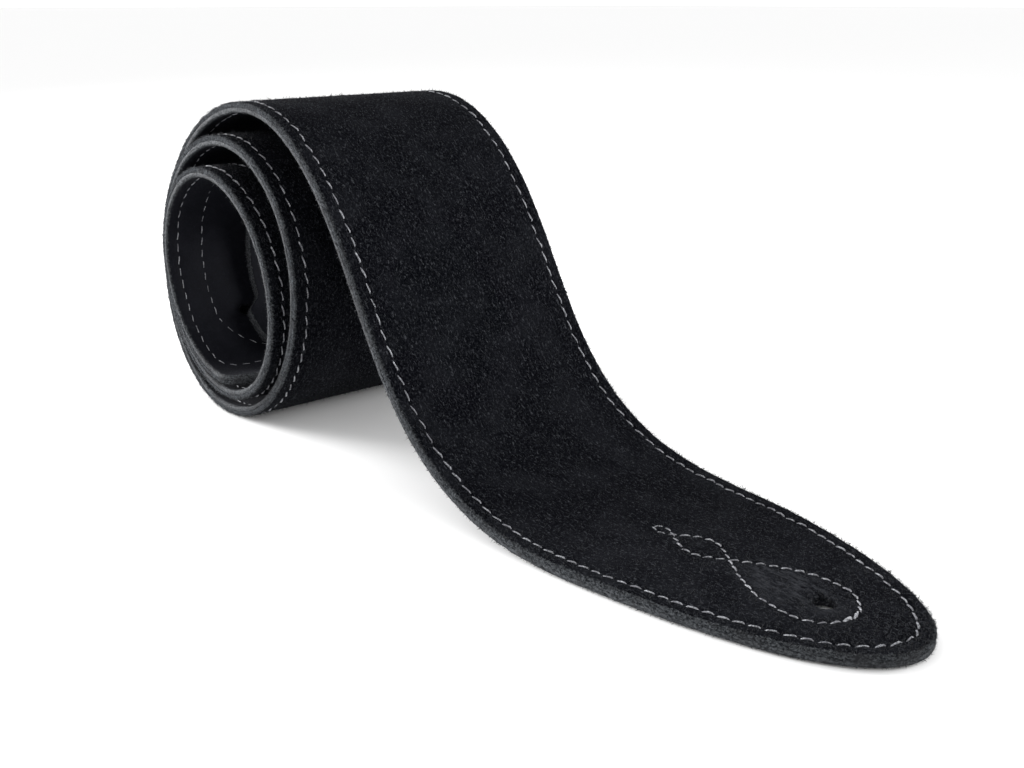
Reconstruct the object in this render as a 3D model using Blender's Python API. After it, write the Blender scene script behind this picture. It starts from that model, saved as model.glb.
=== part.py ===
"""A suede guitar strap, rolled up loosely with its front end laid out flat.

The strap is cut and sewn flat, and then bent.  In the flat, u runs along the strap from
the tip of its front end, v runs across it from the centre line, and depth runs from the
nap side down to the backing.  The strap is two layers held by lockstitch seams, so each
seam has a needle thread in the face layer and a bobbin thread in the backing layer.

In the finished model +X points to the tip of the front end, +Y runs along the roll's
axis, and +Z is up.  The origin is the centre of the model's underside.
"""

from math import cos, pi, radians, sin

import bmesh
import bpy
import numpy as np
from mathutils import Matrix, Vector

MM = 0.001

# The strap as cut
WIDTH = 63.5 * MM
LAYER = 1.35 * MM
LAYER_GAP = 0.3 * MM
THICKNESS = 2 * LAYER + LAYER_GAP
FRONT_LENGTH = 90 * MM
FRONT_SKEW = 1.8 * MM
FRONT_SKEW_LENGTH = 60 * MM
BODY_LENGTH = 800 * MM
SHOULDER_LENGTH = 26 * MM
TAIL_WIDTH = 15 * MM
PADDLE_START = 932 * MM
PADDLE_FLARE = 6 * MM
PADDLE_WIDTH = 24 * MM
PADDLE_ROUND = 10 * MM
STRAP_LENGTH = 958 * MM

# Holes for strap buttons, and the slots that the tail goes through
PIN_HOLE_RADIUS = 2.5 * MM
PIN_HOLE_U = 22.3 * MM
TAIL_HOLE_U = 946 * MM
SLOT_LENGTH = 26 * MM
SLOT_WIDTH = 3.5 * MM
SLOT_POSITIONS = (712.7 * MM, 772.7 * MM)

# Seams
SEAM_INSET = 3.5 * MM
SEAM_CORNER = 6 * MM
THREAD_WIDTH = 0.7 * MM
THREAD_THICKNESS = 0.4 * MM
THREAD_SINK = 0.05 * MM
THREAD_CLEARANCE = 0.3 * MM
SLOT_SEAM_START = 687 * MM
SLOT_SEAM_END = 791.2 * MM
SLOT_SEAM_HALF_WIDTH = 20.8 * MM
SLOT_SEAM_ROUND = 21 * MM
# Loops of the pin-hole seam, from the crossing next to the teardrop
LOOP_CROSSING_U = 46.1 * MM
LOOP_OFFSET = -1.2 * MM
TEARDROP_LENGTH = 31.3 * MM
TEARDROP_HALF_WIDTH = 8.8 * MM
MIDDLE_LOOP_LENGTH = 16 * MM
MIDDLE_LOOP_HALF_WIDTH = 3.9 * MM
SMALL_LOOP_LENGTH = 6 * MM
SMALL_LOOP_HALF_WIDTH = 1.6 * MM

# How the strap lies: flat from the tip to the landing, then bent by these amounts
LANDING = 62.2 * MM
# It rises off the table along a half sine of bend (in 1/m), and turns level over the crest
RISE_BEND = 18.4
RISE_LENGTH = 91.5 * MM
CREST_LENGTH = 70 * MM
# Then it winds up: the length of strap in each quarter turn, from the outside in
QUARTER_TURNS = (87, 53, 72, 54, 62, 54, 49, 53, 43, 52, 35, 47, 33, 42)
# Length over which one bend passes into the next
BEND_EASE = 24 * MM
TURN_STEP = radians(18)
REST_EASE = 150 * MM
# Inner turns stand out of the roll at the near side
SPREAD = 5.6 * MM
SPREAD_START = 160 * MM
SPREAD_LENGTH = 530 * MM

# The front end lifts about a line across the strap
HINGE_U = 71 * MM
HINGE_GAP = 0.3 * MM

STEP = 0.25 * MM


def smooth(t):
    t = min(max(t, 0), 1)
    return t * t * (3 - 2 * t)


# ---------------------------------------------------------------- flat patterns

def mirrored(half):
    """A closed outline from its half at +v."""
    return half + [(u, -v) for u, v in reversed(half) if v > 1e-6]


def front_curve(inset, steps=14):
    """Half of the front end, from the tip to its widest point."""
    long, wide = FRONT_LENGTH - inset, WIDTH / 2 - inset
    angles = [pi / 2 * i / steps for i in range(steps + 1)]
    return [(inset + long * (1 - cos(a)), wide * sin(a)) for a in angles]


def strap_outline():
    half = front_curve(0)
    drop = (WIDTH - TAIL_WIDTH) / 2
    for i in range(9):
        t = i / 8
        half.append((BODY_LENGTH + t * SHOULDER_LENGTH, WIDTH / 2 - drop * smooth(t)))
    flare = (PADDLE_WIDTH - TAIL_WIDTH) / 2
    for i in range(5):
        t = i / 4
        half.append((PADDLE_START + t * PADDLE_FLARE, TAIL_WIDTH / 2 + flare * smooth(t)))
    for i in range(7):
        a = pi / 2 * i / 6
        u = STRAP_LENGTH - PADDLE_ROUND * (1 - sin(a))
        half.append((u, PADDLE_WIDTH / 2 * cos(a)))
    half[-1] = (STRAP_LENGTH, 0)
    return mirrored(half)


def edge_seam_outline(inset):
    """A loop that keeps the same distance inside the edge of the body."""
    half = front_curve(inset)
    corner = SEAM_CORNER + SEAM_INSET - inset
    centre_u = BODY_LENGTH - inset - corner
    centre_v = WIDTH / 2 - inset - corner
    for i in range(5):
        a = pi / 2 * i / 4
        half.append((centre_u + corner * sin(a), centre_v + corner * cos(a)))
    return mirrored(half)


def slot_seam_outline(grow):
    """A long loop with elliptical ends round the slots."""
    wide = SLOT_SEAM_HALF_WIDTH + grow
    long = SLOT_SEAM_ROUND + grow
    half = []
    for centre, side in (
        (SLOT_SEAM_START + SLOT_SEAM_ROUND, -1),
        (SLOT_SEAM_END - SLOT_SEAM_ROUND, 1),
    ):
        angles = [pi / 2 * i / 8 for i in range(9)]
        if side > 0:
            angles.reverse()
        half += [(centre + side * long * cos(a), wide * sin(a)) for a in angles]
    return mirrored(half)


def circle(u, radius, steps=16):
    angles = [2 * pi * i / steps for i in range(steps)]
    return [(u + radius * cos(a), radius * sin(a)) for a in angles]


def slot_outline(u):
    radius = SLOT_WIDTH / 2
    straight = SLOT_LENGTH / 2 - radius
    points = []
    for side in (1, -1):
        for i in range(5):
            a = pi * i / 4
            points.append((u + side * radius * cos(a), side * (straight + radius * sin(a))))
    return points


def loop_strands(grow):
    """Upper strand of each loop of the pin-hole seam, moved out by grow."""
    teardrop = []
    for i in range(16, 2, -1):
        a = pi * i / 16
        u = LOOP_CROSSING_U - TEARDROP_LENGTH * (1 - cos(a)) / 2
        v = TEARDROP_HALF_WIDTH / 0.77 * sin(a) * sin(a / 2)
        teardrop.append((u, v))
    middle = bow(LOOP_CROSSING_U, MIDDLE_LOOP_LENGTH, MIDDLE_LOOP_HALF_WIDTH, 8)
    small_start = LOOP_CROSSING_U + MIDDLE_LOOP_LENGTH
    small = bow(small_start, SMALL_LOOP_LENGTH, SMALL_LOOP_HALF_WIDTH, 4)
    return [moved_out(strand, grow) for strand in (teardrop, middle, small)]


def bow(start, length, height, steps):
    """Points between the two ends of half a sine wave."""
    return [(start + length * i / steps, height * sin(pi * i / steps)) for i in range(1, steps)]


def moved_out(strand, grow):
    """Points of a strand, each moved along its normal, away from the centre line."""
    moved = []
    last = len(strand) - 1
    for i, (u, v) in enumerate(strand):
        before = strand[max(i - 1, 0)]
        after = strand[min(i + 1, last)]
        tangent = Vector((after[0] - before[0], after[1] - before[1])).normalized()
        if i == 0 and v < 1e-6:
            tangent = Vector((0, 1))
        moved.append((u - grow * tangent.y, max(v + grow * tangent.x, 0)))
    return moved


def loop_seam_outlines(half_width):
    """Outer outline of the crossing strands, then the hole inside each loop."""
    teardrop, middle, small = loop_strands(half_width)
    crossing_2 = LOOP_CROSSING_U + MIDDLE_LOOP_LENGTH
    loop_end = crossing_2 + SMALL_LOOP_LENGTH
    waist = 1.25 * half_width
    outer = teardrop + [(LOOP_CROSSING_U, waist)] + middle + [(crossing_2, waist)] + small
    outer.append((loop_end + waist, 0))
    outlines = [mirrored(outer)]
    teardrop, middle, small = loop_strands(-half_width)
    starts = (teardrop[0][0], LOOP_CROSSING_U, crossing_2)
    ends = (LOOP_CROSSING_U, crossing_2, loop_end)
    for start, strand, end in zip(starts, (teardrop, middle, small), ends):
        inside = [(u, v) for u, v in strand if v > 0.25 * half_width]
        first = (start + 1.6 * half_width, 0) if inside[0][0] > start + half_width else (start, 0)
        outlines.append(mirrored([first] + inside + [(end - 1.6 * half_width, 0)]))
    return [[(u, v + LOOP_OFFSET) for u, v in outline] for outline in outlines]


# ---------------------------------------------------------------- flat solids

def collection(name):
    made = bpy.data.collections.new(name)
    bpy.context.scene.collection.children.link(made)
    return made


def mesh_of(obj):
    graph = bpy.context.evaluated_depsgraph_get()
    return bpy.data.meshes.new_from_object(obj.evaluated_get(graph))


def flat_solid(name, outlines, top, bottom, target):
    """Outlines filled and extruded between two depths below the nap side."""
    curve = bpy.data.curves.new(name, "CURVE")
    curve.dimensions = "2D"
    curve.fill_mode = "BOTH"
    curve.extrude = (bottom - top) / 2
    for outline in outlines:
        spline = curve.splines.new("POLY")
        spline.points.add(len(outline) - 1)
        for point, (u, v) in zip(spline.points, outline):
            point.co = (u, v, 0, 1)
        spline.use_cyclic_u = True
    sketch = bpy.data.objects.new(name + "_sketch", curve)
    bpy.context.scene.collection.objects.link(sketch)
    mesh = mesh_of(sketch)
    bpy.data.objects.remove(sketch)
    bpy.data.curves.remove(curve)
    mesh.transform(Matrix.Translation((0, 0, -(top + bottom) / 2)))
    clean(mesh)
    solid = bpy.data.objects.new(name, mesh)
    target.objects.link(solid)
    return solid


def clean(mesh):
    work = bmesh.new()
    work.from_mesh(mesh)
    bmesh.ops.remove_doubles(work, verts=work.verts, dist=0.002 * MM)
    bmesh.ops.dissolve_limit(
        work, angle_limit=radians(0.05), verts=work.verts, edges=work.edges)
    bmesh.ops.recalc_face_normals(work, faces=work.faces)
    work.to_mesh(mesh)
    work.free()


def combined(obj, cutters, operation="DIFFERENCE"):
    """Replaces the object's mesh by its Boolean with each cutter in turn."""
    for cutter in cutters:
        cut = obj.modifiers.new(cutter.name, "BOOLEAN")
        cut.operation = operation
        cut.solver = "EXACT"
        cut.object = cutter
    mesh = mesh_of(obj)
    obj.modifiers.clear()
    obj.data = mesh
    clean(mesh)


def as_cutter(obj):
    obj.hide_render = True
    obj.display_type = "WIRE"
    return obj


# ---------------------------------------------------------------- bending

class Lie:
    """Where the strap lies: the nap side's line in X and Z, and its turning angle."""

    def __init__(self):
        length = STRAP_LENGTH - LANDING + STEP
        self.s = np.arange(0, length, STEP)
        self.turn = self.summed(self.bends())
        self.x = -self.summed(np.cos(self.turn))
        self.z = THICKNESS + self.summed(np.sin(self.turn))
        self.stations = self.s[self.station_rows()]
        self.settle()

    def bends(self):
        """Bend at each step: up off the table, over the crest, then a quarter turn at a time."""
        rise_turn = 2 * RISE_BEND * RISE_LENGTH / pi
        crest = (self.s - RISE_LENGTH) / CREST_LENGTH
        bends = -2 * rise_turn / CREST_LENGTH * crest
        rising = self.s < RISE_LENGTH
        bends[rising] = RISE_BEND * np.sin(pi * self.s[rising] / RISE_LENGTH)
        start = RISE_LENGTH + CREST_LENGTH
        for length in QUARTER_TURNS:
            bends[self.s >= start] = -pi / 2 / (length * MM)
            start += length * MM
        window = int(BEND_EASE / STEP)
        padded = np.concatenate([np.zeros(window), bends, np.full(window, bends[-1])])
        return np.convolve(padded, np.full(window, 1 / window), "same")[window:-window]

    @staticmethod
    def summed(values):
        middle = (values[1:] + values[:-1]) / 2 * STEP
        return np.append(0, np.cumsum(middle))

    def station_rows(self):
        """Rows where the strap has turned by another step, which become its facets."""
        sector = np.floor((self.turn - TURN_STEP / 2) / TURN_STEP)
        rows = np.nonzero(np.diff(sector))[0]
        top = int(np.argmax(self.turn))
        rows = [row for row in rows if abs(row - top) > 8 * MM / STEP]
        return sorted([0, top, len(self.s) - 1] + rows)

    def settle(self):
        """Eases the roll down until its lowest facet lies on the table."""
        rows = self.station_rows()
        ease = np.array([smooth(s / REST_EASE) for s in self.s])
        self.z -= ease * self.z[rows[2:]].min()

    def spread(self, s):
        ramp = np.clip((s - SPREAD_START) / SPREAD_LENGTH, 0, 1)
        return -SPREAD * ramp

    def place(self, u, v, depth):
        """Model position of a point of the flat strap, before the origin is moved."""
        s = u - LANDING
        if s <= 0:
            skew = FRONT_SKEW * (1 - smooth(u / FRONT_SKEW_LENGTH))
            return Vector((-s, v - skew, THICKNESS - depth))
        row = np.searchsorted(self.s, self.stations)
        at = [np.interp(s, self.stations, line[row]) for line in (self.x, self.z)]
        normal = [np.interp(s, self.stations, f(self.turn[row])) for f in (np.sin, np.cos)]
        spread = np.interp(s, self.stations, self.spread(self.stations))
        return Vector((at[0] - depth * normal[0], v + spread, at[1] - depth * normal[1]))

    def origin(self):
        """Centre of the bent strap's underside."""
        row = np.searchsorted(self.s, self.stations)
        left = self.x[row].min()
        return Vector(((left + LANDING) / 2, -SPREAD / 2, 0))


def bend(obj, lie):
    """Splits the flat solid at every facet line and moves its points onto the lie."""
    work = bmesh.new()
    work.from_mesh(obj.data)
    for s in lie.stations:
        geometry = work.verts[:] + work.edges[:] + work.faces[:]
        bmesh.ops.bisect_plane(
            work, geom=geometry, dist=1e-7,
            plane_co=(s + LANDING, 0, 0), plane_no=(1, 0, 0))
    origin = lie.origin() + obj.location
    for vert in work.verts:
        vert.co = lie.place(vert.co.x, vert.co.y, -vert.co.z) - origin
    # u runs against X, so the move mirrors the solid
    bmesh.ops.reverse_faces(work, faces=work.faces)
    work.to_mesh(obj.data)
    work.free()


# ---------------------------------------------------------------- the strap's pieces

def material(name, color, roughness):
    made = bpy.data.materials.new(name)
    made.use_nodes = True
    shader = made.node_tree.nodes["Principled BSDF"]
    shader.inputs["Base Color"].default_value = (*color, 1)
    shader.inputs["Roughness"].default_value = roughness
    shader.inputs["Metallic"].default_value = 0
    return made


def seam_outlines(half_width):
    """Each seam's outlines for a strand of this half width."""
    return {
        "edge": [
            edge_seam_outline(SEAM_INSET - half_width),
            edge_seam_outline(SEAM_INSET + half_width),
        ],
        "pin_hole": loop_seam_outlines(half_width),
        "tail_slot": [slot_seam_outline(half_width), slot_seam_outline(-half_width)],
    }


def depths(side, top, bottom):
    """Depth range below the nap side, from a range below the layer's own surface."""
    if side == "needle":
        return top, bottom
    return THICKNESS - bottom, THICKNESS - top


def make_layer(name, side, cutters_in, parts):
    top, bottom = depths(side, 0, LAYER)
    layer = flat_solid(name, [strap_outline()], top, bottom, parts)
    cutters = []
    groove_half = THREAD_WIDTH / 2 + THREAD_CLEARANCE
    floor = THREAD_SINK + THREAD_THICKNESS + THREAD_CLEARANCE
    top, bottom = depths(side, -MM, floor)
    for seam, outlines in seam_outlines(groove_half).items():
        cutters.append(flat_solid(f"{name}_{seam}_groove", outlines, top, bottom, cutters_in))
    through = {f"slot_{i}": slot_outline(u) for i, u in enumerate(SLOT_POSITIONS)}
    through["pin_hole"] = circle(PIN_HOLE_U, PIN_HOLE_RADIUS)
    through["tail_hole"] = circle(TAIL_HOLE_U, PIN_HOLE_RADIUS)
    for hole, outline in through.items():
        cutter = flat_solid(f"{name}_{hole}", [outline], -MM, THICKNESS + MM, cutters_in)
        cutters.append(cutter)
    combined(layer, [as_cutter(cutter) for cutter in cutters])
    return layer


def make_thread(name, side, seam, parts):
    top, bottom = depths(side, THREAD_SINK, THREAD_SINK + THREAD_THICKNESS)
    outlines = seam_outlines(THREAD_WIDTH / 2)[seam]
    return flat_solid(name, outlines, top, bottom, parts)


def half_space(name, start, end, cutters_in):
    outline = [(start, -WIDTH), (end, -WIDTH), (end, WIDTH), (start, WIDTH)]
    return as_cutter(flat_solid(name, [outline], -4 * MM, THICKNESS + 4 * MM, cutters_in))


def split_at_hinge(obj, front_space, roll_space, parts):
    """Two objects on the two sides of the hinge line."""
    stem = obj.name
    front = bpy.data.objects.new(stem + "_front", obj.data.copy())
    roll = bpy.data.objects.new(stem + "_roll", obj.data.copy())
    for piece, space in ((front, front_space), (roll, roll_space)):
        parts.objects.link(piece)
        combined(piece, [space], "INTERSECT")
    bpy.data.objects.remove(obj)
    return front, roll


def build():
    parts = collection("guitar_strap")
    cutters = collection("cutters")
    suede = material("nap_suede", (0.014, 0.014, 0.016), 0.95)
    backing = material("backing_leather", (0.012, 0.012, 0.013), 0.75)
    thread = material("grey_thread", (0.5, 0.5, 0.48), 0.7)
    lie = Lie()
    half_gap = HINGE_GAP / 2
    spaces = (
        half_space("front_space", -WIDTH, HINGE_U - half_gap, cutters),
        half_space("roll_space", HINGE_U + half_gap, STRAP_LENGTH + WIDTH, cutters),
    )
    hinge = bpy.data.objects.new("front_end_hinge", None)
    hinge.location = lie.place(HINGE_U, 0, 0) - lie.origin()
    parts.objects.link(hinge)

    front_pieces = []
    roll_pieces = []
    split = [
        (make_layer("face_leather", "needle", cutters, parts), suede),
        (make_layer("backing_leather", "bobbin", cutters, parts), backing),
        (make_thread("edge_needle_thread", "needle", "edge", parts), thread),
        (make_thread("edge_bobbin_thread", "bobbin", "edge", parts), thread),
    ]
    for obj, look in split:
        front, roll = split_at_hinge(obj, *spaces, parts)
        front_pieces.append((front, look))
        roll_pieces.append((roll, look))
    for side in ("needle", "bobbin"):
        pin_hole = make_thread(f"pin_hole_{side}_thread", side, "pin_hole", parts)
        tail_slot = make_thread(f"tail_slot_{side}_thread", side, "tail_slot", parts)
        front_pieces.append((pin_hole, thread))
        roll_pieces.append((tail_slot, thread))

    for obj, look in front_pieces:
        obj.location = hinge.location
        bend(obj, lie)
        obj.parent = hinge
        obj.location = (0, 0, 0)
        obj.data.materials.append(look)
    for obj, look in roll_pieces:
        bend(obj, lie)
        obj.data.materials.append(look)


for old in list(bpy.data.objects):
    bpy.data.objects.remove(old)
build()
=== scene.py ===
"""The look of a rolled-up suede guitar strap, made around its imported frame.

Every surface is laid out flat first, as the strap was cut and sewn: u runs along the
strap from the tip of its front end, v across it from the centre line, and depth down
from the nap side.  Strap.place then bends those points onto the line that the roll
follows.  Lengths are in millimetres until they are placed.
"""

from math import cos, hypot, pi, radians, sin

import bpy
import numpy as np
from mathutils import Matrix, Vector, noise
from mathutils.kdtree import KDTree


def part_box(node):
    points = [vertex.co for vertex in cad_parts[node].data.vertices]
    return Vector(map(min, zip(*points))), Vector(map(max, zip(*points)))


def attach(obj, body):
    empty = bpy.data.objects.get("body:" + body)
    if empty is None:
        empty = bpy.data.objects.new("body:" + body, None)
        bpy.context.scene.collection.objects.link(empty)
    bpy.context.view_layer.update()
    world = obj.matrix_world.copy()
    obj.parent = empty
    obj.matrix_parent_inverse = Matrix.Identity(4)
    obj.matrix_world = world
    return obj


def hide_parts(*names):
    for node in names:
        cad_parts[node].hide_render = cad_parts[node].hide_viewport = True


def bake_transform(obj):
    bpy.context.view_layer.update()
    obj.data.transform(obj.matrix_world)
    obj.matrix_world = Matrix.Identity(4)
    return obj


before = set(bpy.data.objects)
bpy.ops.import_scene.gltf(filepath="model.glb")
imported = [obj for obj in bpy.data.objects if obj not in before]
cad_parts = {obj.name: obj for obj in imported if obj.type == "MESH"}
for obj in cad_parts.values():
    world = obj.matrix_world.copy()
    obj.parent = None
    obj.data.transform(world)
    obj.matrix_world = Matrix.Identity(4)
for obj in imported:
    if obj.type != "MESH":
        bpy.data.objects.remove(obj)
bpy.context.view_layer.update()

MM = 0.001
SEED = 11

# ------------------------------------------------------------------ the strap's design

WIDTH = 63.5
THICKNESS = 3.0
FRONT_LENGTH = 90.0
FRONT_SKEW = 1.8
FRONT_SKEW_LENGTH = 60.0
BODY_LENGTH = 800.0
SHOULDER_LENGTH = 26.0
TAIL_WIDTH = 15.0
PADDLE_START = 932.0
PADDLE_FLARE = 6.0
PADDLE_WIDTH = 24.0
PADDLE_ROUND = 10.0
STRAP_LENGTH = 958.0
HOLE_RADIUS = 2.5
PIN_HOLE_U = 22.3
TAIL_HOLE_U = 946.0
SLOT_LENGTH = 26.0
SLOT_WIDTH = 3.5
SLOT_POSITIONS = (712.7, 772.7)
SEAM_INSET = 3.5
SEAM_CORNER = 6.0
SLOT_SEAM_START = 687.0
SLOT_SEAM_END = 791.2
SLOT_SEAM_HALF_WIDTH = 20.8
SLOT_SEAM_ROUND = 21.0
LOOP_CROSSING_U = 46.1
LOOP_OFFSET = -1.2
TEARDROP_LENGTH = 31.3
TEARDROP_HALF_WIDTH = 8.8
MIDDLE_LOOP_LENGTH = 16.0
MIDDLE_LOOP_HALF_WIDTH = 3.9
SMALL_LOOP_LENGTH = 6.0
SMALL_LOOP_HALF_WIDTH = 1.6

# The line that the strap lies along: a half sine of bend (in 1/m) up off the table, a crest,
# and then the length of strap in each quarter turn, from the outside in
LANDING = 62.2
RISE_BEND = 18.4
RISE_LENGTH = 91.5
CREST_LENGTH = 70.0
QUARTER_TURNS = (87, 53, 72, 54, 62, 54, 49, 53, 43, 52, 35, 47, 33, 42)
BEND_EASE = 24.0
REST_EASE = 150.0
SPREAD = 5.6
SPREAD_START = 160.0
SPREAD_LENGTH = 530.0

# The matted patch of nap round the pin hole, longer along the strap than across it; its paler colour
# is painted sheen of the flattened nap
WORN_SHEEN_U = 30.0
WORN_SHEEN_SQUEEZE = 0.55


def smooth(t):
    t = np.clip(t, 0, 1)
    return t * t * (3 - 2 * t)


class Strap:
    """Places flat points of the strap on the line that the rolled strap follows."""

    STEP = 0.25

    def __init__(self):
        self.s = np.arange(0, STRAP_LENGTH - LANDING + 2, self.STEP)
        self.turn = self.summed(self.bends())
        self.x = -self.summed(np.cos(self.turn))
        self.z = THICKNESS + self.summed(np.sin(self.turn))
        self.z -= smooth(self.s / REST_EASE) * self.z[self.s > REST_EASE].min()
        self.landing_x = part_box("face_leather_front")[1][0] / MM - LANDING

    def bends(self):
        """Bend per millimetre: up off the table, over the crest, then by quarter turns."""
        rise_turn = 2 * RISE_BEND * MM * RISE_LENGTH / pi
        bends = -2 * rise_turn / CREST_LENGTH * (self.s - RISE_LENGTH) / CREST_LENGTH
        rising = self.s < RISE_LENGTH
        bends[rising] = RISE_BEND * MM * np.sin(pi * self.s[rising] / RISE_LENGTH)
        start = RISE_LENGTH + CREST_LENGTH
        for length in QUARTER_TURNS:
            bends[self.s >= start] = -pi / 2 / length
            start += length
        window = int(BEND_EASE / self.STEP)
        padded = np.concatenate([np.zeros(window), bends, np.full(window, bends[-1])])
        return np.convolve(padded, np.full(window, 1 / window), "same")[window:-window]

    def summed(self, values):
        middle = (values[1:] + values[:-1]) / 2 * self.STEP
        return np.append(0, np.cumsum(middle))

    def place(self, u, v, depth):
        """World positions in metres of flat points in millimetres."""
        s = u - LANDING
        bent = np.clip(s, 0, None)
        flat = np.clip(-s, 0, None)
        turn = np.interp(bent, self.s, self.turn)
        skew = FRONT_SKEW * (1 - smooth(u / FRONT_SKEW_LENGTH))
        spread = SPREAD * np.clip((bent - SPREAD_START) / SPREAD_LENGTH, 0, 1)
        x = self.landing_x + flat + np.interp(bent, self.s, self.x) - depth * np.sin(turn)
        y = v - skew - spread + SPREAD / 2
        z = np.interp(bent, self.s, self.z) - depth * np.cos(turn)
        return np.stack([x, y, z], axis=1) * MM


strap = Strap()


# ------------------------------------------------------------------ camera, light, floor

CAMERA_PLACE = (0.2169, -0.1793, 0.1141)
CAMERA_DOWN = 17.873
CAMERA_TURN = 49.605
CAMERA_LENS = 41.85


def make_camera():
    data = bpy.data.cameras.new("camera")
    data.sensor_width = 36.0
    data.lens = CAMERA_LENS
    camera = bpy.data.objects.new("camera", data)
    camera.location = CAMERA_PLACE
    camera.rotation_euler = (radians(90 - CAMERA_DOWN), 0, radians(CAMERA_TURN))
    bpy.context.scene.collection.objects.link(camera)
    bpy.context.scene.camera = camera


def area_light(name, place, target, size, power, color=(1, 1, 1)):
    data = bpy.data.lights.new(name, "AREA")
    data.shape = "RECTANGLE"
    data.size, data.size_y = size
    data.energy = power
    data.color = color
    light = bpy.data.objects.new(name, data)
    light.location = place
    aim = Vector(target) - Vector(place)
    light.rotation_euler = aim.to_track_quat("-Z", "Y").to_euler()
    bpy.context.scene.collection.objects.link(light)


def make_studio():
    scene = bpy.context.scene
    scene.view_settings.view_transform = "Standard"
    world = bpy.data.worlds.new("white_room")
    world.use_nodes = True
    world.node_tree.nodes["Background"].inputs["Color"].default_value = (1, 1, 1, 1)
    world.node_tree.nodes["Background"].inputs["Strength"].default_value = 1.12
    scene.world = world
    area_light("left_softbox", (-0.85, -0.52, 0.25), (-0.02, 0, 0.04), (0.5, 0.35), 26)
    area_light("back_right_rim", (0.45, 0.8, 0.25), (0.03, 0, 0.02), (0.5, 0.3), 9)
    bpy.ops.mesh.primitive_plane_add(size=40, location=(0, 0, -0.0002))
    floor = bpy.context.object
    floor.name = "floor"
    white = bpy.data.materials.new("white_floor")
    white.use_nodes = True
    shader = white.node_tree.nodes["Principled BSDF"]
    shader.inputs["Base Color"].default_value = (0.86, 0.86, 0.86, 1)
    shader.inputs["Roughness"].default_value = 0.9
    shader.inputs["Specular IOR Level"].default_value = 0.1
    floor.data.materials.append(white)


make_camera()
make_studio()


# ------------------------------------------------------------------ materials

class Nodes:
    """Short helpers for one material's node tree."""

    def __init__(self, name):
        self.material = bpy.data.materials.new(name)
        self.material.use_nodes = True
        self.tree = self.material.node_tree
        self.shader = self.tree.nodes["Principled BSDF"]

    def add(self, kind, settings=None, **values):
        node = self.tree.nodes.new(kind)
        for key, value in (settings or {}).items():
            setattr(node, key, value)
        for key, value in values.items():
            self.put(node.inputs[key.replace("_", " ")], value)
        return node

    def put(self, socket, value):
        if isinstance(value, bpy.types.NodeSocket):
            self.tree.links.new(value, socket)
        else:
            socket.default_value = value

    def flat_place(self):
        return self.add("ShaderNodeAttribute", {"attribute_name": "flat"}).outputs["Vector"]

    def amount(self, name):
        return self.add("ShaderNodeAttribute", {"attribute_name": name}).outputs["Fac"]

    def stretched(self, vector, scale):
        node = self.add("ShaderNodeVectorMath", {"operation": "MULTIPLY"})
        self.put(node.inputs[0], vector)
        self.put(node.inputs[1], scale)
        return node.outputs[0]

    def noise(self, vector, scale, detail=2.0, roughness=0.5, distortion=0.0):
        node = self.add(
            "ShaderNodeTexNoise", Vector=vector, Scale=scale, Detail=detail,
            Roughness=roughness, Distortion=distortion)
        return node.outputs["Fac"]

    def ramp(self, value, low, high, start=0.0, end=1.0):
        node = self.add("ShaderNodeMapRange", {"interpolation_type": "SMOOTHSTEP"})
        for key, number in zip(
                ("Value", "From Min", "From Max", "To Min", "To Max"),
                (value, low, high, start, end)):
            self.put(node.inputs[key], number)
        return node.outputs["Result"]

    def math(self, operation, a, b):
        node = self.add("ShaderNodeMath", {"operation": operation})
        self.put(node.inputs[0], a)
        self.put(node.inputs[1], b)
        return node.outputs[0]

    def mix(self, amount, a, b):
        node = self.add("ShaderNodeMix", {"data_type": "RGBA"})
        self.put(node.inputs["Factor"], amount)
        self.put(node.inputs[6], a if isinstance(a, bpy.types.NodeSocket) else (*a, 1))
        self.put(node.inputs[7], b if isinstance(b, bpy.types.NodeSocket) else (*b, 1))
        return node.outputs[2]

    def bump(self, height, distance, strength=1.0, under=None):
        node = self.add("ShaderNodeBump", Height=height, Distance=distance, Strength=strength)
        if under is not None:
            self.put(node.inputs["Normal"], under)
        return node.outputs["Normal"]


CUT_DARK = (0.010, 0.011, 0.013)
CUT_PALE = (0.072, 0.077, 0.083)


def cut_edge(n, flat, surface, fine):
    """Mixes the fibrous grey of the cut edge over a layer's own surface."""
    fibres = n.noise(n.stretched(flat, (1.0, 1.0, 1.4)), 1.6, 3.0, 0.75, 0.5)
    cut = n.mix(n.ramp(fibres, 0.38, 0.66), CUT_DARK, CUT_PALE)
    cut = n.mix(n.ramp(n.noise(flat, 0.22, 2.0), 0.42, 0.66, 0.0, 0.5), cut, (0.028, 0.028, 0.030))
    rim = n.math("ADD", n.amount("cut"), n.ramp(fine, 0.3, 0.7, -0.35, 0.35))
    return n.mix(n.ramp(rim, 0.25, 0.8), surface, cut)


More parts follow.
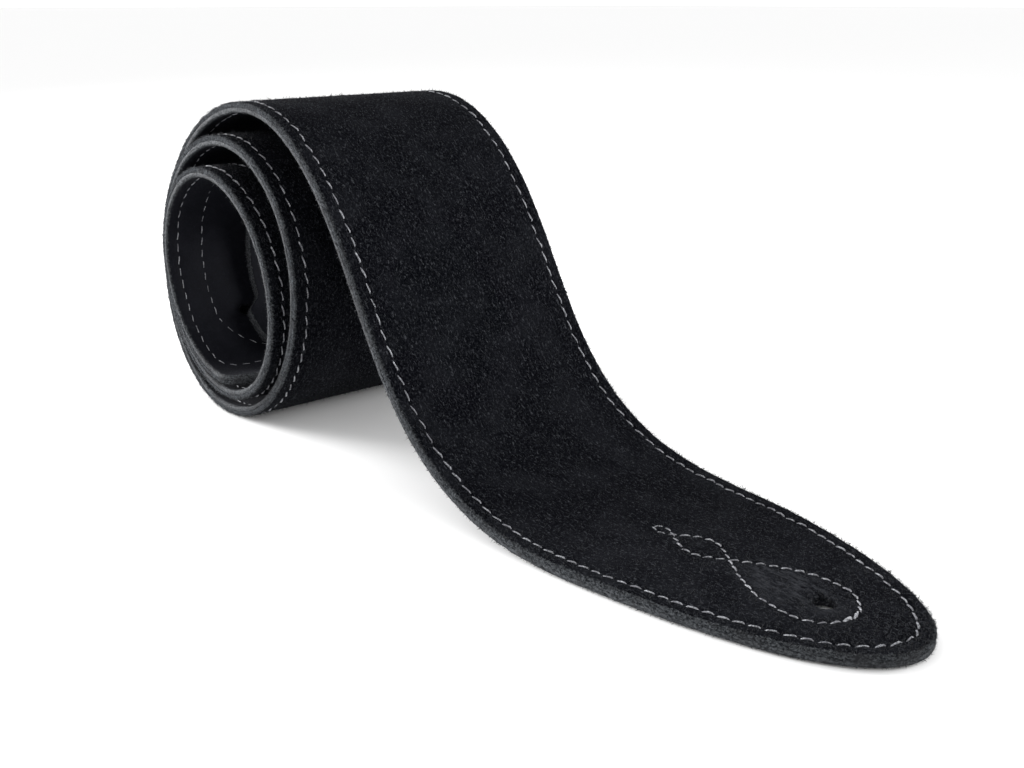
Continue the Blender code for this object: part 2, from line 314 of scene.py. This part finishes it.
def nap_suede():
    """Black napped suede, with a greyer fibrous cut edge."""
    n = Nodes("nap_suede")
    flat = n.flat_place()
    fine = n.noise(flat, 1.5, 3.0, 0.7)
    glinting_strands = n.noise(n.stretched(flat, (0.8, 1.7, 1.5)), 1.2, 2.0, 0.7, 0.9)
    tufts = n.noise(n.stretched(flat, (1.3, 0.8, 1.0)), 0.75, 3.0, 0.65, 0.5)
    patches = n.noise(flat, 0.09, 2.0, 0.5, 0.3)
    nap = n.mix(n.ramp(fine, 0.42, 0.66), (0.0004, 0.0006, 0.0014), (0.0120, 0.0128, 0.0160))
    nap = n.mix(n.ramp(tufts, 0.40, 0.66, 0.75, 0.0), nap, (0.0012, 0.0014, 0.0024))
    # Pale strands: painted glints, where nap fibres would catch the light
    nap = n.mix(n.ramp(glinting_strands, 0.55, 0.72, 0.0, 1.0), nap, (0.036, 0.038, 0.043))
    nap = n.mix(n.ramp(patches, 0.40, 0.72, 0.0, 0.30), nap, (0.014, 0.015, 0.018))
    # Real matting round the pin hole, painted paler as the sheen of its flattened nap
    from_worn_sheen = n.add("ShaderNodeVectorMath", {"operation": "DISTANCE"})
    n.put(from_worn_sheen.inputs[0], n.stretched(flat, (WORN_SHEEN_SQUEEZE, 1.0, 0.0)))
    n.put(from_worn_sheen.inputs[1], (WORN_SHEEN_U * WORN_SHEEN_SQUEEZE, LOOP_OFFSET, 0.0))
    worn_sheen = n.ramp(from_worn_sheen.outputs["Value"], 4.0, 10.0, 0.55, 0.0)
    streaks = n.noise(n.stretched(flat, (0.5, 1.6, 1.0)), 0.55, 4.0, 0.7, 1.0)
    worn_sheen = n.math("MULTIPLY", worn_sheen, n.ramp(streaks, 0.40, 0.68))
    nap = n.mix(worn_sheen, nap, (0.040, 0.042, 0.048))
    n.put(n.shader.inputs["Base Color"], cut_edge(n, flat, nap, fine))
    n.put(n.shader.inputs["Roughness"], n.ramp(fine, 0.3, 0.7, 0.86, 0.98))
    n.shader.inputs["Specular IOR Level"].default_value = 0.01
    n.shader.inputs["Sheen Weight"].default_value = 0.006
    n.shader.inputs["Sheen Roughness"].default_value = 0.45
    n.shader.inputs["Sheen Tint"].default_value = (0.75, 0.78, 0.85, 1)
    coarse = n.bump(tufts, 0.0005, 0.7)
    n.put(n.shader.inputs["Normal"], n.bump(n.math("ADD", fine, glinting_strands), 0.0003, 1.0, coarse))
    return n.material


def backing_leather():
    """Smooth, matt black leather with fine pores, greyer at its cut edge."""
    n = Nodes("backing_leather")
    flat = n.flat_place()
    pores = n.noise(flat, 1.8, 2.0, 0.6)
    mottle = n.noise(flat, 0.15, 3.0, 0.6)
    skin = n.mix(n.ramp(pores, 0.35, 0.7), (0.0025, 0.0028, 0.0048), (0.0060, 0.0064, 0.0095))
    skin = n.mix(n.ramp(mottle, 0.4, 0.7, 0.0, 0.4), skin, (0.009, 0.0095, 0.013))
    n.put(n.shader.inputs["Base Color"], cut_edge(n, flat, skin, pores))
    n.put(n.shader.inputs["Roughness"], n.ramp(pores, 0.3, 0.7, 0.6, 0.85))
    n.shader.inputs["Specular IOR Level"].default_value = 0.08
    n.put(n.shader.inputs["Normal"], n.bump(pores, 0.00015, 0.6))
    return n.material


def grey_thread():
    """Pale grey spun thread, with dark speckles painted as the shade in its twist."""
    n = Nodes("grey_thread")
    flat = n.flat_place()
    fine = n.noise(flat, 4.0, 2.0, 0.6)
    along = n.noise(flat, 0.5, 1.0)
    # Dark speckles: painted shade in the thread's twist
    color = n.mix(n.ramp(fine, 0.3, 0.7), (0.05, 0.053, 0.062), (0.47, 0.48, 0.51))
    color = n.mix(n.ramp(along, 0.42, 0.62, 0.0, 0.75), color, (0.10, 0.10, 0.115))
    n.put(n.shader.inputs["Base Color"], color)
    n.put(n.shader.inputs["Roughness"], n.ramp(fine, 0.3, 0.7, 0.5, 0.75))
    n.shader.inputs["Specular IOR Level"].default_value = 0.35
    n.put(n.shader.inputs["Normal"], n.bump(fine, 0.00008, 0.5))
    return n.material


def nap_fibre(name, pale):
    """Loose black fibres, some of them paler: the grey of the cut edge, or on the nap a painted
    highlight of fibres catching more light.
    """
    n = Nodes(name)
    flat = n.flat_place()
    shade = n.noise(flat, 1.4, 0.0)
    color = n.mix(n.ramp(shade, 0.40, 0.66), (0.002, 0.0025, 0.004), pale)
    n.put(n.shader.inputs["Base Color"], color)
    n.put(n.shader.inputs["Roughness"], n.ramp(shade, 0.3, 0.7, 0.6, 0.9))
    n.shader.inputs["Specular IOR Level"].default_value = 0.2
    return n.material


# ------------------------------------------------------------------ meshes from arrays

def make_piece(name, flat, faces, material, flipped=False, cut=None):
    """A mesh of flat points, bent into place."""
    mesh = bpy.data.meshes.new(name)
    places = strap.place(flat[:, 0], flat[:, 1], flat[:, 2])
    # The piece rests on the table, so nothing reaches below it
    places[:, 2] = places[:, 2].clip(0)
    order = reversed if flipped else list
    mesh.from_pydata(places.tolist(), [], [tuple(order(face)) for face in faces])
    kept = mesh.attributes.new("flat", "FLOAT_VECTOR", "POINT")
    kept.data.foreach_set("vector", np.asarray(flat, dtype=np.float32).ravel())
    if cut is not None:
        edge = mesh.attributes.new("cut", "FLOAT", "POINT")
        edge.data.foreach_set("value", np.asarray(cut, dtype=np.float32))
    mesh.shade_smooth()
    mesh.materials.append(material)
    piece = bpy.data.objects.new(name, mesh)
    bpy.context.scene.collection.objects.link(piece)
    return piece


def across_hinge(piece):
    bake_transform(piece)


# ------------------------------------------------------------------ seams in the flat

def resampled(points, pitch, closed):
    """Needle holes along a line, as far apart as pitch says for their place along the strap."""
    points = np.array(points)
    if closed:
        points = np.vstack([points, points[:1]])
    middle_u = (points[1:, 0] + points[:-1, 0]) / 2
    lengths = np.hypot(*np.diff(points, axis=0).T)
    run = np.append(0, np.cumsum(lengths / np.array([pitch(u) for u in middle_u])))
    at = np.linspace(0, run[-1], round(run[-1]) + 1)
    return np.stack([np.interp(at, run, points[:, 0]), np.interp(at, run, points[:, 1])], axis=1)


def mirrored(half):
    half = np.array(half)
    other = half[::-1] * (1, -1)
    return np.vstack([half, other[np.abs(other[:, 1]) > 1e-6]])


def edge_seam():
    """The seam round the body, from the middle of its shoulder end up the near side."""
    a = np.linspace(0, pi / 2, 60)
    long, wide = FRONT_LENGTH - SEAM_INSET, WIDTH / 2 - SEAM_INSET
    half = [(SEAM_INSET + long * (1 - cos(t)), wide * sin(t)) for t in a]
    centre_u = BODY_LENGTH - SEAM_INSET - SEAM_CORNER
    centre_v = wide - SEAM_CORNER
    half += [(centre_u + SEAM_CORNER * sin(t), centre_v + SEAM_CORNER * cos(t)) for t in a[::6]]
    half.append((BODY_LENGTH - SEAM_INSET, 0))
    half = np.array(half)
    near = half[::-1] * (1, -1)
    return np.vstack([near[:-1], half])


def slot_seam():
    a = np.linspace(0, pi / 2, 24)
    low = SLOT_SEAM_START + SLOT_SEAM_ROUND
    high = SLOT_SEAM_END - SLOT_SEAM_ROUND
    half = [(low - SLOT_SEAM_ROUND * cos(t), SLOT_SEAM_HALF_WIDTH * sin(t)) for t in a]
    half += [(high + SLOT_SEAM_ROUND * cos(t), SLOT_SEAM_HALF_WIDTH * sin(t)) for t in a[::-1]]
    return mirrored(half)


def loop_seam():
    """One line of sewing: out along one side of the three loops and back along the other."""
    crossing = LOOP_CROSSING_U
    # The greatest value of sin(t) * sin(t / 2)
    peak = 0.77
    points = []
    for t in np.linspace(pi, 0, 40):
        u = crossing - TEARDROP_LENGTH * (1 - cos(t)) / 2
        points.append((u, TEARDROP_HALF_WIDTH / peak * sin(t) * sin(t / 2)))
    for t in np.linspace(0, pi, 24)[1:]:
        points.append((crossing + MIDDLE_LOOP_LENGTH * t / pi, -MIDDLE_LOOP_HALF_WIDTH * sin(t)))
    start = crossing + MIDDLE_LOOP_LENGTH
    for t in np.linspace(0, pi, 12)[1:]:
        points.append((start + SMALL_LOOP_LENGTH * t / pi, SMALL_LOOP_HALF_WIDTH * sin(t)))
    half = np.array(points)
    back = half[::-1][1:] * (1, -1)
    whole = np.vstack([half, back])
    whole[:, 1] += LOOP_OFFSET
    return whole


def back_tack():
    """Stitches sewn over each other where the loop seam starts and ends."""
    u = LOOP_CROSSING_U - TEARDROP_LENGTH
    return np.array([(u + 1.0, 3.4), (u + 0.1, 0.3), (u + 0.9, -2.6), (u - 0.2, -0.4), (u + 0.5, 2.2)])


STITCH = 3.95
FRONT_STITCH = 3.3
LOOP_STITCH = 2.75
# How far a needle hole strays from the line, as a standard deviation
HOLE_STRAY = 0.15
SEAMS = {
    "edge": resampled(edge_seam(), lambda u: FRONT_STITCH if u < FRONT_LENGTH else STITCH, False),
    "pin_hole": resampled(loop_seam(), lambda u: LOOP_STITCH, False),
    "tail_slot": resampled(slot_seam(), lambda u: STITCH, True),
}


def wandered(points, amount, seed):
    """Needle holes of a seam, a little off the line."""
    moved = points.copy()
    draw = np.random.default_rng(seed)
    moved += draw.normal(0, amount, moved.shape)
    return moved


HOLES = {
    name: wandered(points, HOLE_STRAY, SEED + i)
    for i, (name, points) in enumerate(SEAMS.items())}


class Grooves:
    """How far the seams pull the leather down near their needle holes."""

    REACH = 4.0
    NARROW_DEPTH = 0.26
    NARROW_WIDTH = 0.55
    WIDE_DEPTH = 0.12
    WIDE_WIDTH = 1.7

    def __init__(self):
        """Samples along each stitch, pulled down the most at the needle holes."""
        samples = []
        for holes in HOLES.values():
            for a, b in zip(holes[:-1], holes[1:]):
                for t in np.arange(0, 1, 0.125):
                    pull = 0.55 + 0.45 * (2 * t - 1) ** 2
                    samples.append((*(a + (b - a) * t), pull))
        self.pulls = [sample[2] for sample in samples]
        self.tree = KDTree(len(samples))
        for i, (u, v, pull) in enumerate(samples):
            self.tree.insert((u, v, 0), i)
        self.tree.balance()
        self.cells = {
            (int(u // self.REACH) + i, int(v // self.REACH) + j)
            for u, v, _ in samples for i in (-1, 0, 1) for j in (-1, 0, 1)}

    def depth(self, u, v):
        if (int(u // self.REACH), int(v // self.REACH)) not in self.cells:
            return 0.0
        _, i, distance = self.tree.find((u, v, 0))
        narrow = self.NARROW_DEPTH * np.exp(-(distance / self.NARROW_WIDTH) ** 2)
        wide = self.WIDE_DEPTH * np.exp(-(distance / self.WIDE_WIDTH) ** 2)
        return self.pulls[i] * (narrow + wide)


grooves = Grooves()


# ------------------------------------------------------------------ the two leather layers

# Columns of the mesh: distance in from the edge, closest together at the edge and the seam,
# and then shares of what is left, closest together at the middle
BAND = np.array([
    0, 0.12, 0.28, 0.5, 0.85, 1.3, 1.9, 2.4, 2.8, 3.1, 3.35, 3.6, 3.9, 4.3, 4.9, 5.7, 6.8, 8.2])
CENTRE = np.concatenate([
    np.linspace(1, 0.5, 9), np.linspace(0.5, -0.5, 41)[1:-1], np.linspace(-0.5, -1, 9)])
# Half width below which the band is drawn narrower, except in the rounded front end
FULL_BAND_WIDTH = 22.0
# Rows of the mesh in each stretch of the strap, finer where it is seen closest
FRONT_ROWS = 125
RUN_ROWS = 241
ROLL_ROWS = 314
SHOULDER_ROWS = 25
TAIL_ROWS = 60
FLARE_ROWS = 7
PADDLE_ROWS = 9
ROUND_ROWS = 14
# Place along the strap where the finer rows of its straight edge end
RUN_END = 330.0
# Rounding and roughness of the leather where it meets its cut edge
ROUNDING_DEPTH = 0.42
ROUNDING_WIDTH = 0.33
ROUGH_DEPTH = 0.10
ROUGH_WIDTH = 1.2
ROUGH_REACH = 3.0
# Leather round a hole that the hole's rings take the place of
HOLE_MARGIN = 2.0


def row_edges():
    """Edge point and inward direction of each row of the +v side, and the band's scale."""
    rows = []
    fine_steps = 2000
    a = np.linspace(0, pi / 2, fine_steps)
    line = np.stack([FRONT_LENGTH * (1 - np.cos(a)), WIDTH / 2 * np.sin(a)], axis=1)
    run = np.append(0, np.cumsum(np.hypot(*np.diff(line, axis=0).T)))
    for t in np.interp(np.linspace(0, run[-1], FRONT_ROWS), run, a):
        inward = Vector((cos(t) / FRONT_LENGTH, -sin(t) / (WIDTH / 2))).normalized()
        rows.append((FRONT_LENGTH * (1 - cos(t)), WIDTH / 2 * sin(t), inward.x, inward.y))
    for u in np.linspace(FRONT_LENGTH, RUN_END, RUN_ROWS)[1:]:
        rows.append((u, WIDTH / 2, 0, -1))
    for u in np.linspace(RUN_END, BODY_LENGTH, ROLL_ROWS)[1:]:
        rows.append((u, WIDTH / 2, 0, -1))
    drop = (WIDTH - TAIL_WIDTH) / 2
    for t in np.linspace(0, 1, SHOULDER_ROWS)[1:]:
        rows.append((BODY_LENGTH + t * SHOULDER_LENGTH, WIDTH / 2 - drop * smooth(t), 0, -1))
    for u in np.linspace(BODY_LENGTH + SHOULDER_LENGTH, PADDLE_START, TAIL_ROWS)[1:]:
        rows.append((u, TAIL_WIDTH / 2, 0, -1))
    flare = (PADDLE_WIDTH - TAIL_WIDTH) / 2
    for t in np.linspace(0, 1, FLARE_ROWS)[1:]:
        rows.append((PADDLE_START + t * PADDLE_FLARE, TAIL_WIDTH / 2 + flare * smooth(t), 0, -1))
    round_start = STRAP_LENGTH - PADDLE_ROUND
    for u in np.linspace(PADDLE_START + PADDLE_FLARE, round_start, PADDLE_ROWS)[1:]:
        rows.append((u, PADDLE_WIDTH / 2, 0, -1))
    for t in np.linspace(0, pi / 2, ROUND_ROWS)[1:]:
        rows.append((round_start + PADDLE_ROUND * sin(t), PADDLE_WIDTH / 2 * cos(t), 0, -1))
    rows = np.array(rows)
    scale = np.clip(rows[:, 1] / FULL_BAND_WIDTH, 0, 1)
    scale[:FRONT_ROWS] = 1
    return rows, scale


ROWS, ROW_SCALE = row_edges()


def top_grid():
    """Flat places of the whole surface, as an array of rows and columns."""
    steps = BAND[None, :, None] * ROW_SCALE[:, None, None]
    band = ROWS[:, None, :2] + ROWS[:, None, 2:] * steps
    inner = band[:, -1:, :]
    centre = np.concatenate([
        np.repeat(inner[:, :, :1], len(CENTRE) - 2, axis=1),
        inner[:, :, 1:] * CENTRE[None, 1:-1, None]], axis=2)
    far = band[:, ::-1, :] * (1, -1)
    return np.concatenate([band, centre, far], axis=1)


class Shell:
    """Points and faces of one layer's outer skin, its cut edge and its holes."""

    def __init__(self, relief, seed):
        self.relief = relief
        self.seed = seed
        self.points = []
        self.cut = []
        self.faces = []
        self.grid = top_grid()
        self.rows, self.columns = self.grid.shape[:2]
        self.add_surface()
        self.add_wall()

    def add_point(self, u, v, depth, cut):
        self.points.append((u, v, depth))
        self.cut.append(cut)
        return len(self.points) - 1

    def surface_point(self, u, v, from_edge):
        """A point of the outer skin, rounded over at the edge and pulled down by seams."""
        rounding = ROUNDING_DEPTH * np.exp(-(from_edge / ROUNDING_WIDTH) ** 1.3)
        if from_edge < ROUGH_REACH:
            rough = noise.noise((u * 1.3, v * 1.3, self.seed))
            rough += noise.noise((u * 0.5, v * 0.5, self.seed))
            rounding += ROUGH_DEPTH * rough * np.exp(-(from_edge / ROUGH_WIDTH) ** 2)
        depth = rounding + grooves.depth(u, v) + self.relief(u, v)
        return self.add_point(u, v, depth, float(np.exp(-(from_edge / 0.5) ** 2)))

    def add_surface(self):
        """The outer skin, with a patch left out round each hole and the hole put in it."""
        self.index = np.zeros((self.rows, self.columns), dtype=int)
        band = np.concatenate([BAND, np.full(len(CENTRE) - 2, BAND[-1]), BAND[::-1]])
        for i in range(self.rows):
            for j in range(self.columns):
                u, v = self.grid[i, j]
                self.index[i, j] = self.surface_point(u, v, band[j])
        holes = [(PIN_HOLE_U, 0.0, HOLE_RADIUS), (TAIL_HOLE_U, 0.0, HOLE_RADIUS)]
        slot_straight = SLOT_LENGTH / 2 - SLOT_WIDTH / 2
        holes += [(u, slot_straight, SLOT_WIDTH / 2) for u in SLOT_POSITIONS]
        blocks = [self.block_round(*hole) for hole in holes]
        inside = np.zeros((self.rows - 1, self.columns - 1), dtype=bool)
        for low_row, high_row, low_column, high_column in blocks:
            inside[low_row:high_row, low_column:high_column] = True
        for i in range(self.rows - 1):
            for j in range(self.columns - 1):
                if not inside[i, j]:
                    self.add_face(
                        self.index[i, j], self.index[i, j + 1],
                        self.index[i + 1, j + 1], self.index[i + 1, j])
        for block, hole in zip(blocks, holes):
            self.add_hole(block, *hole)

    def add_face(self, *corners):
        """A face, without the corners that lie on one another."""
        kept = []
        seen = set()
        for corner in corners:
            place = tuple(round(c, 4) for c in self.points[corner])
            if place not in seen:
                seen.add(place)
                kept.append(int(corner))
        if len(kept) > 2:
            self.faces.append(tuple(kept))

    def block_round(self, centre, straight, radius):
        """Rows and columns of the patch of grid that a hole takes out."""
        middle_column = self.columns // 2
        rows_u = self.grid[:, middle_column, 0]
        low_row = int(np.searchsorted(rows_u, centre - radius - HOLE_MARGIN)) - 1
        high_row = int(np.searchsorted(rows_u, centre + radius + HOLE_MARGIN))
        v = self.grid[(low_row + high_row) // 2, :, 1]
        reach = straight + radius + HOLE_MARGIN
        inside = np.nonzero(np.abs(v) < reach)[0]
        return low_row, high_row, int(inside[0]), int(inside[-1])

    def add_hole(self, block, centre, straight, radius):
        """Rings from the edge of the patch in to the hole, over its lip and down its wall."""
        low_row, high_row, low_column, high_column = block
        border = [(low_row, j) for j in range(low_column, high_column)]
        border += [(i, high_column) for i in range(low_row, high_row)]
        border += [(high_row, j) for j in range(high_column, low_column, -1)]
        border += [(i, low_column) for i in range(high_row, low_row, -1)]
        outer = [self.index[i, j] for i, j in border]
        places = np.array([self.points[k][:2] for k in outer])
        spine = np.stack([
            np.full(len(places), centre), np.clip(places[:, 1], -straight, straight)], axis=1)
        away = places - spine
        reach = np.hypot(*away.T)[:, None]
        away = away / reach
        ring = outer
        for share in (0.62, 0.36, 0.18, 0.08, 0.03, 0.0):
            at = spine + away * (radius + (reach - radius) * share)
            gap = (reach[:, 0] - radius) * share
            lips = 0.34 * np.exp(-(gap / 0.3) ** 1.3) + 0.22 * np.exp(-(gap / 1.6) ** 2)
            pale = 0.35 * np.exp(-(gap / 0.4) ** 2)
            new = [
                self.add_point(u, v, grooves.depth(u, v) + self.relief(u, v) + lip, float(cut))
                for (u, v), lip, cut in zip(at, lips, pale)]
            self.join_rings(ring, new)
            ring = new
        for depth, inset in ((0.9, 0.04), (THICKNESS / 2, 0.0), (THICKNESS / 2, -1.2)):
            at = spine + away * (radius - inset)
            new = [self.add_point(u, v, depth, 0.1) for u, v in at]
            self.join_rings(ring, new)
            ring = new

    def join_rings(self, outer, inner):
        for k in range(len(outer)):
            after = (k + 1) % len(outer)
            self.add_face(outer[k], outer[after], inner[after], inner[k])

    def add_wall(self):
        """The fibrous cut edge, down to the middle of the strap, and a lip turned in."""
        border = [(i, 0) for i in range(self.rows - 1, -1, -1)]
        border += [(i, self.columns - 1) for i in range(1, self.rows)]
        places = np.array([self.grid[i, j] for i, j in border])
        inward = self.inward_of(border)
        ring = [self.index[i, j] for i, j in border]
        for depth, inset, rough in (
                (0.62, -0.04, 0.16), (0.85, -0.07, 0.20), (1.1, -0.07, 0.20),
                (1.32, -0.04, 0.14), (THICKNESS / 2, 0.02, 0.0), (THICKNESS / 2, 1.5, 0.0)):
            new = []
            for (u, v), (du, dv) in zip(places, inward):
                wobble = noise.noise((u * 1.1, v * 1.1, depth * 1.7 + self.seed)) * rough
                wobble += noise.noise((u * 0.3, v * 0.3, self.seed)) * rough
                new.append(self.add_point(
                    u + du * (inset + wobble), v + dv * (inset + wobble), depth, 1.0))
            for k in range(len(new) - 1):
                self.add_face(ring[k + 1], ring[k], new[k], new[k + 1])
            ring = new

    def inward_of(self, border):
        """Direction in from the edge, in the flat, for each point of the border."""
        inward = []
        for i, j in border:
            du, dv = ROWS[i, 2:]
            inward.append((du, dv if j == 0 else -dv))
        return inward

    def arrays(self):
        return np.array(self.points), self.faces, np.array(self.cut)


def nap_relief(u, v):
    """Soft unevenness of the nap side, in millimetres of depth."""
    broad = noise.noise((u * 0.035, v * 0.05, 3.0)) * 0.10
    mid = noise.noise((u * 0.22, v * 0.22, 7.0)) * 0.05
    return broad + mid + noise.noise((u * 0.9, v * 0.9, 1.0)) * 0.035


def skin_relief(u, v):
    """Gentler unevenness of the backing."""
    return noise.noise((u * 0.05, v * 0.05, 21.0)) * 0.05 + noise.noise((u * 0.4, v * 0.4, 5.0)) * 0.02


def make_layers():
    face_points, face_faces, face_cut = Shell(nap_relief, 2.0).arrays()
    back_points, back_faces, back_cut = Shell(skin_relief, 9.0).arrays()
    back_points[:, 2] = THICKNESS - back_points[:, 2]
    face = make_piece("suede_face", face_points, face_faces, nap_suede(), cut=face_cut)
    back = make_piece(
        "backing", back_points, back_faces, backing_leather(), flipped=True, cut=back_cut)
    for piece, layer in ((face, "face_leather"), (back, "backing_leather")):
        across_hinge(piece)
        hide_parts(f"{layer}_roll", f"{layer}_front")


# ------------------------------------------------------------------ stitches

THREAD_RADIUS = 0.21
SIDES = 6
SHORTEST_STITCH = 0.5
# Turn between one ring of a stitch and the next, in radians
TWIST = 0.9
# Along a stitch: share of its length, and height above the leather
STITCH_LINE = (
    (0.03, -0.8), (0.08, -0.5), (0.15, -0.14), (0.27, 0.08), (0.5, 0.16),
    (0.73, 0.10), (0.85, -0.12), (0.92, -0.5), (0.97, -0.8),
)


class Thread:
    """Separate twisted stitches between the needle holes of a seam."""

    def __init__(self, seed):
        self.draw = np.random.default_rng(seed)
        self.points = []
        self.faces = []

    def sew(self, holes, slant=0.40, fullness=1.0, radius=THREAD_RADIUS):
        for a, b in zip(holes[:-1], holes[1:]):
            length = hypot(*(b - a))
            if length < SHORTEST_STITCH:
                continue
            along = (b - a) / length
            left = np.array((along[1], -along[0]))
            lift = fullness * self.draw.uniform(0.1, 1.15)
            lean = slant * self.draw.uniform(0.5, 1.4)
            bow = self.draw.normal(0, 0.05)
            line = []
            for share, height in STITCH_LINE:
                side = lean * (share - 0.5) * 2 * smooth(4 * min(share, 1 - share))
                side += bow * sin(pi * share)
                at = a + along * length * share + left * side
                sunk = grooves.depth(*at)
                line.append((*at, sunk - (height * lift if height > 0 else height)))
            phase = self.draw.uniform(0, 2 * pi)
            self.add_tube(np.array(line), phase, radius * self.draw.uniform(0.75, 1.08))

    def add_tube(self, line, phase, radius):
        """A closed, lobed tube along a line, turning as spun thread does."""
        first = len(self.points)
        tangents = np.gradient(line, axis=0)
        tangents /= np.linalg.norm(tangents, axis=1)[:, None]
        for k, (at, tangent) in enumerate(zip(line, tangents)):
            side = np.cross(tangent, (0, 0, 1))
            side /= max(np.linalg.norm(side), 1e-6)
            up = np.cross(side, tangent)
            for j in range(SIDES):
                a = 2 * pi * j / SIDES + phase + TWIST * k
                r = radius * (1.12 if j % 2 else 0.84)
                self.points.append(at + side * r * cos(a) + up * r * sin(a))
        for k in range(len(line) - 1):
            for j in range(SIDES):
                low = first + k * SIDES
                high = low + SIDES
                after = (j + 1) % SIDES
                self.faces.append((low + j, low + after, high + after, high + j))
        last = first + (len(line) - 1) * SIDES
        self.faces.append(tuple(range(first + SIDES - 1, first - 1, -1)))
        self.faces.append(tuple(range(last, last + SIDES)))

    def piece(self, name, material, backing):
        points = np.array(self.points)
        if backing:
            points[:, 2] = THICKNESS - points[:, 2]
        return make_piece(name, points, self.faces, material, flipped=not backing)


def make_threads():
    material = grey_thread()
    for number, (seam, holes) in enumerate(HOLES.items()):
        for side in ("needle", "bobbin"):
            thread = Thread(SEED + 20 + number)
            if side == "needle":
                thread.sew(holes)
            else:
                thread.sew(holes, slant=0.2, fullness=0.5, radius=0.7 * THREAD_RADIUS)
            if seam == "pin_hole" and side == "needle":
                thread.sew(back_tack() + (0, LOOP_OFFSET), fullness=1.7)
            piece = thread.piece(f"{seam}_{side}_stitches", material, side == "bobbin")
            if seam == "tail_slot":
                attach(piece, "roll")
            else:
                across_hinge(piece)
            if seam == "edge":
                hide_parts(f"edge_{side}_thread_roll", f"edge_{side}_thread_front")
            else:
                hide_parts(f"{seam}_{side}_thread")


# ------------------------------------------------------------------ loose fibres of the nap

FIBRE_WIDTH = 0.15
# How far inside the leather a fibre is rooted
ROOT_DEPTH = 0.08
# Number and usual length of the fibres of each kind
NAP_FIBRES, NAP_FIBRE_LENGTH = 90000, 0.48
SUEDE_EDGE_FIBRES, SUEDE_EDGE_FIBRE_LENGTH = 42000, 0.34
BACKING_EDGE_FIBRES, BACKING_EDGE_FIBRE_LENGTH = 16000, 0.38


def shed(length, tilt, root, rng, outward):
    """Tapered fibres from flat roots, leaning at random round an outward direction."""
    count = len(root)
    lean = rng.normal(0, 1, (count, 3)) * tilt
    aim = outward + lean
    aim /= np.linalg.norm(aim, axis=1)[:, None]
    size = rng.gamma(3.0, length / 3.0, count)[:, None].clip(0.12, length * 3)
    tip = root + aim * size
    side = np.cross(aim, rng.normal(0, 1, (count, 3)))
    side /= np.linalg.norm(side, axis=1)[:, None]
    other = np.cross(aim, side)
    thick = rng.uniform(0.6, 1.3, count)[:, None] * FIBRE_WIDTH / 2
    foot = [
        root + (side * cos(a) + other * sin(a)) * thick
        for a in (0, 2 * pi / 3, 4 * pi / 3)]
    return np.stack(foot + [tip], axis=1)


FIBRE_FACES = ((0, 1, 3), (1, 2, 3), (2, 0, 3), (2, 1, 0))
FIBRE_POINTS = 4


def fibre_piece(name, fibres, material, backing=False):
    points = fibres.reshape(-1, 3)
    if backing:
        points[:, 2] = THICKNESS - points[:, 2]
    corners = FIBRE_POINTS * np.arange(len(points) // FIBRE_POINTS)[:, None]
    faces = []
    for face in FIBRE_FACES:
        faces += (corners + np.array(face)).tolist()
    piece = make_piece(name, points, faces, material, flipped=not backing)
    across_hinge(piece)
    return piece


def outline_roots(count, rng, low, high):
    """Roots along the cut edge, and the direction out of it."""
    gaps = np.hypot(*np.diff(ROWS[:, :2], axis=0).T)
    run = np.append(0, np.cumsum(gaps))
    at = rng.uniform(0, run[-1], count)
    place = [np.interp(at, run, ROWS[:, k]) for k in range(4)]
    side = rng.choice((-1, 1), count)
    depth = rng.uniform(low, high, count)
    root = np.stack([place[0], place[1] * side, depth], axis=1)
    outward = np.stack([-place[2], -place[3] * side, np.zeros(count)], axis=1)
    return root, outward


def face_roots(count, rng):
    """Roots spread evenly along the strap and across the nap."""
    u = rng.uniform(0, STRAP_LENGTH, count)
    half = np.interp(u, ROWS[:, 0], ROWS[:, 1])
    v = rng.uniform(-1, 1, count) * half
    return np.stack([u, v, np.full(count, ROOT_DEPTH)], axis=1)


def make_fibres():
    # Paler nap fibres: a painted highlight of fibres catching the light
    nap_material = nap_fibre("nap_fibre", (0.026, 0.028, 0.032))
    edge_material = nap_fibre("cut_fibre", (0.070, 0.074, 0.080))
    rng = np.random.default_rng(SEED + 50)
    up = np.array((0.0, 0.0, -1.0))
    root, outward = outline_roots(SUEDE_EDGE_FIBRES, rng, 0.05, THICKNESS / 2)
    lift = rng.uniform(0.0, 0.7, len(root))[:, None] * up
    edge = shed(SUEDE_EDGE_FIBRE_LENGTH, 0.7, root - outward * ROOT_DEPTH, rng, outward + lift)
    root = face_roots(NAP_FIBRES, rng)
    nap = shed(NAP_FIBRE_LENGTH, 0.8, root, rng, np.repeat(up[None], len(root), axis=0))
    nap_fuzz = fibre_piece("suede_nap_fuzz", nap, nap_material)
    suede_fuzz = fibre_piece("suede_edge_fuzz", edge, edge_material)
    root, outward = outline_roots(BACKING_EDGE_FIBRES, rng, 0.1, THICKNESS / 2)
    edge = shed(BACKING_EDGE_FIBRE_LENGTH, 0.6, root - outward * ROOT_DEPTH, rng, outward)
    backing_fuzz = fibre_piece("backing_edge_fuzz", edge, edge_material, backing=True)


make_layers()
make_threads()
make_fibres()
